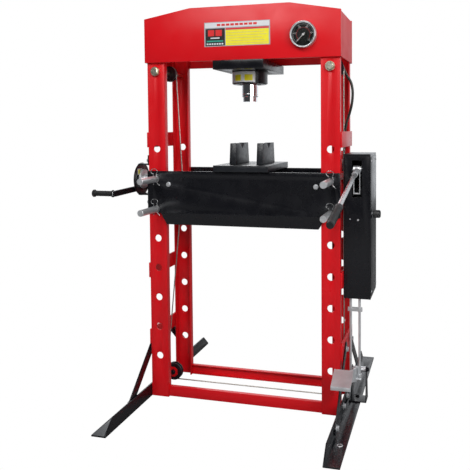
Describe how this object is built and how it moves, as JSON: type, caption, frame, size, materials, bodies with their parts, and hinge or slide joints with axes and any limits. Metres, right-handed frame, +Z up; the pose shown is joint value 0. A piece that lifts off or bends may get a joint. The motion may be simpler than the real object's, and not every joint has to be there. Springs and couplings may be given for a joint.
{
  "type": "hydraulic shop press",
  "caption": "Floor-standing two-column hydraulic shop press with a pinned bed raised by a hand winch, a side pump with lever and pedal, and a pressure gauge.",
  "frame": {"origin": "bottom centre of the bounding box, on the floor", "axes": "+X to the press's right seen from its front, +Y to its rear, +Z up along the ram"},
  "size_m": [1.278, 1.3506, 1.817],
  "materials": {
    "red_paint": "glossy enamel",
    "black_paint": "glossy enamel",
    "pulley_black": "painted",
    "zinc": "bright zinc plate",
    "chrome": "hard chrome",
    "plain_steel": "plain",
    "rubber": "matt",
    "knob_plastic": "moulded",
    "needle_white": "matt"
  },
  "bodies": {
    "frame": {"post_front_left": "red_paint", "post_front_right": "red_paint", "post_rear_left": "red_paint", "post_rear_right": "red_paint", "tie_left_upper": "red_paint", "tie_left_middle": "red_paint", "tie_left_lower": "red_paint", "tie_right_upper": "red_paint", "tie_right_middle": "red_paint", "tie_right_lower": "red_paint", "base_bar_front": "red_paint", "base_bar_rear": "red_paint", "head_plate_front": "red_paint", "head_plate_rear": "red_paint", "foot_left": "black_paint", "foot_right": "black_paint", "brace_left_front": "black_paint", "brace_left_rear": "black_paint", "brace_right_front": "black_paint", "brace_right_rear": "black_paint", "carriage_plate": "black_paint", "cylinder_body": "black_paint", "pump_cabinet": "black_paint", "winch_frame": "black_paint", "pulley_axle_left": "zinc", "pulley_axle_right": "zinc", "gauge_case": "zinc", "pump_body": "plain_steel", "rope_winch": "plain_steel", "rope_lift_left": "plain_steel", "rope_lift_right": "plain_steel", "rope_sync_left": "plain_steel", "rope_sync": "plain_steel", "hose": "rubber"},
    "bed": {"bed_plate_front": "black_paint", "bed_plate_rear": "black_paint", "bed_spacer_left": "black_paint", "bed_spacer_right": "black_paint"},
    "press_plate": {"press_plate": "black_paint"},
    "v_block_left": {"v_block_left": "black_paint"},
    "v_block_right": {"v_block_right": "black_paint"},
    "pin_left_lower": {"pin_left_lower": "zinc"},
    "pin_left_upper": {"pin_left_upper": "zinc"},
    "pin_right_lower": {"pin_right_lower": "zinc"},
    "pin_right_upper": {"pin_right_upper": "zinc"},
    "ram": {"ram": "chrome"},
    "gauge_needle": {"gauge_needle": "needle_white"},
    "pump_lever": {"pump_lever": "zinc", "pump_handle": "plain_steel", "handle_grip": "rubber"},
    "release_knob": {"release_knob": "knob_plastic"},
    "pedal": {"pedal": "zinc"},
    "pedal_linkage": {"pedal_linkage": "zinc"},
    "winch_crank": {"winch_crank": "black_paint"},
    "winch_grip": {"winch_grip": "rubber"},
    "winch_drum": {"winch_drum": "zinc"},
    "pulley_upper_left": {"pulley_upper_left": "pulley_black"},
    "pulley_upper_right": {"pulley_upper_right": "pulley_black"},
    "pulley_lower_left": {"pulley_lower_left": "pulley_black"},
    "pulley_lower_right": {"pulley_lower_right": "pulley_black"}
  },
  "joints": [
    {"name": "bed_lift", "type": "slide", "parent": "frame", "child": "bed", "axis": [0, 0, 1], "range_m": [-0.7, 0.14], "deforming": ["rope_lift_left", "rope_lift_right", "rope_sync_left"]},
    {"name": "press_plate_slide", "type": "slide", "parent": "bed", "child": "press_plate", "axis": [1, 0, 0], "range_m": [-0.15, 0.15]},
    {"name": "v_block_left_slide", "type": "slide", "parent": "press_plate", "child": "v_block_left", "axis": [1, 0, 0], "range_m": [-0.05, 0.03]},
    {"name": "v_block_right_slide", "type": "slide", "parent": "press_plate", "child": "v_block_right", "axis": [1, 0, 0], "range_m": [-0.03, 0.045]},
    {"name": "pin_left_lower_pull", "type": "slide", "parent": "bed", "child": "pin_left_lower", "axis": [0, -1, 0], "range_m": [0, 0.36]},
    {"name": "pin_left_upper_pull", "type": "slide", "parent": "bed", "child": "pin_left_upper", "axis": [0, -1, 0], "range_m": [0, 0.36]},
    {"name": "pin_right_lower_pull", "type": "slide", "parent": "bed", "child": "pin_right_lower", "axis": [0, -1, 0], "range_m": [0, 0.36]},
    {"name": "pin_right_upper_pull", "type": "slide", "parent": "bed", "child": "pin_right_upper", "axis": [0, -1, 0], "range_m": [0, 0.36]},
    {"name": "ram_stroke", "type": "slide", "parent": "frame", "child": "ram", "axis": [0, 0, 1], "range_m": [-0.18, 0], "stiffness_N_per_m": 800, "springref_m": 0.25},
    {"name": "gauge_needle_turn", "type": "hinge", "parent": "frame", "child": "gauge_needle", "pos_m": [0.3185, -0.07649, 1.674], "axis": [0, 1, 0], "range_deg": [0, 270], "stiffness_Nm_per_rad": 0.005, "springref_deg": -17.19},
    {"name": "pump_lever_hinge", "type": "hinge", "parent": "frame", "child": "pump_lever", "pos_m": [0.541, 0.00831, 1.088], "axis": [-1, 0, 0], "range_deg": [0, 60]},
    {"name": "release_knob_turn", "type": "hinge", "parent": "frame", "child": "release_knob", "pos_m": [0.621, 0.04031, 0.889], "axis": [1, 0, 0], "range_deg": [0, 180]},
    {"name": "pedal_hinge", "type": "hinge", "parent": "frame", "child": "pedal", "pos_m": [0.533, 0.13031, 0.15], "axis": [1, 0, 0], "range_deg": [0, 10], "stiffness_Nm_per_rad": 20, "springref_deg": -20.05},
    {"name": "pedal_linkage_slide", "type": "slide", "parent": "frame", "child": "pedal_linkage", "axis": [0, 0, -1], "range_m": [0, 0.022]},
    {"name": "winch_crank_turn", "type": "hinge", "parent": "frame", "child": "winch_crank", "pos_m": [-0.529, 0.08031, 0.984], "axis": [1, 0, 0], "continuous": true},
    {"name": "winch_grip_spin", "type": "hinge", "parent": "winch_crank", "child": "winch_grip", "pos_m": [-0.579, -0.19669, 0.979], "axis": [1, 0, 0], "continuous": true},
    {"name": "winch_drum_turn", "type": "hinge", "parent": "frame", "child": "winch_drum", "pos_m": [-0.459, 0.04031, 1.0275], "axis": [1, 0, 0], "continuous": true},
    {"name": "pulley_upper_left_turn", "type": "hinge", "parent": "frame", "child": "pulley_upper_left", "pos_m": [-0.39, 0.10031, 1.537], "axis": [0, 1, 0], "continuous": true},
    {"name": "pulley_upper_right_turn", "type": "hinge", "parent": "frame", "child": "pulley_upper_right", "pos_m": [0.432, 0.10031, 1.537], "axis": [0, 1, 0], "continuous": true},
    {"name": "pulley_lower_left_turn", "type": "hinge", "parent": "frame", "child": "pulley_lower_left", "pos_m": [-0.3855, 0.10031, 0.066], "axis": [0, 1, 0], "continuous": true},
    {"name": "pulley_lower_right_turn", "type": "hinge", "parent": "frame", "child": "pulley_lower_right", "pos_m": [0.4275, 0.10031, 0.066], "axis": [0, 1, 0], "continuous": true}
  ],
  "couplings": [
    {"joint": "winch_drum_turn", "follows": "winch_crank_turn", "ratio": -0.25},
    {"joint": "pulley_upper_left_turn", "follows": "winch_crank_turn", "ratio": -0.2},
    {"joint": "pulley_upper_right_turn", "follows": "winch_crank_turn", "ratio": 0.2},
    {"joint": "pulley_lower_left_turn", "follows": "winch_crank_turn", "ratio": 0.177},
    {"joint": "pulley_lower_right_turn", "follows": "winch_crank_turn", "ratio": 0.177},
    {"joint": "pedal_linkage_slide", "follows": "pedal_hinge", "m_per_rad": 0.12}
  ]
}
